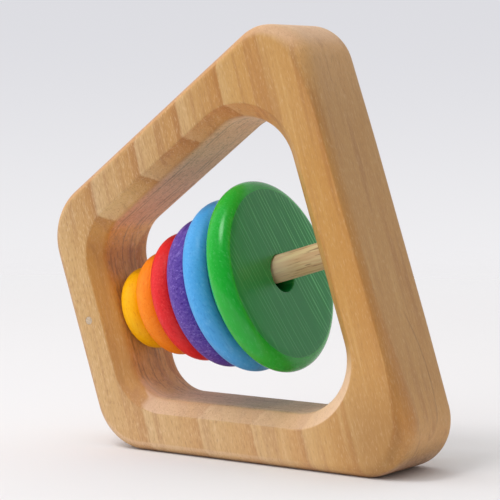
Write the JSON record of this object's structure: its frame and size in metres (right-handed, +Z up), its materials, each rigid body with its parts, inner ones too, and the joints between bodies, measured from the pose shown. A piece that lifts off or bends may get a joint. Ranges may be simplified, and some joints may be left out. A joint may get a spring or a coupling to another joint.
{
  "type": "rattle teether",
  "caption": "Wooden baby rattle and teether: a thick rounded trapezoid frame standing on one leg, with coloured discs of growing size loose on a rod across its window.",
  "frame": {"origin": "on the floor, under the middle of the box that holds the object as it stands on one leg", "axes": "+Z up, front with the pin's end towards -Y, the short bar on the -X side and the long bar on the +X side"},
  "size_m": [0.0918, 0.0426, 0.0939],
  "materials": {
    "frame_wood": "oiled, satin",
    "rod_wood": "raw, matt",
    "pin_wood": "cut flush, oiled",
    "yellow_stain": "stained, satin",
    "orange_stain": "stained, satin",
    "red_stain": "stained, satin",
    "purple_stain": "stained, satin",
    "blue_stain": "stained, satin",
    "green_stain": "stained, satin rim, sawn face"
  },
  "bodies": {
    "frame": {"trapezoid_frame": "frame_wood", "rod": "rod_wood", "rod_pin": "pin_wood"},
    "yellow": {"disc_yellow": "yellow_stain"},
    "orange": {"disc_orange": "orange_stain"},
    "red": {"disc_red": "red_stain"},
    "purple": {"disc_purple": "purple_stain"},
    "blue": {"disc_blue": "blue_stain"},
    "green": {"disc_green": "green_stain"}
  },
  "joints": [
    {"name": "yellow_slide", "type": "slide", "parent": "frame", "child": "yellow", "axis": [0.9554, 0, 0.2954], "range_m": [0, 0.0046]},
    {"name": "orange_spin", "type": "hinge", "parent": "yellow", "child": "orange", "pos_m": [-0.01976, 0, 0.03192], "axis": [0.9554, 0, 0.2954], "continuous": true},
    {"name": "red_slide", "type": "slide", "parent": "orange", "child": "red", "axis": [0.9554, 0, 0.2954], "range_m": [0, 0.0046]},
    {"name": "purple_spin", "type": "hinge", "parent": "red", "child": "purple", "pos_m": [-0.00773, 0, 0.03564], "axis": [0.9554, 0, 0.2954], "continuous": true},
    {"name": "blue_slide", "type": "slide", "parent": "purple", "child": "blue", "axis": [0.9554, 0, 0.2954], "range_m": [0, 0.0046]},
    {"name": "green_spin", "type": "hinge", "parent": "blue", "child": "green", "pos_m": [0.00584, 0, 0.03984], "axis": [0.9554, 0, 0.2954], "continuous": true}
  ]
}
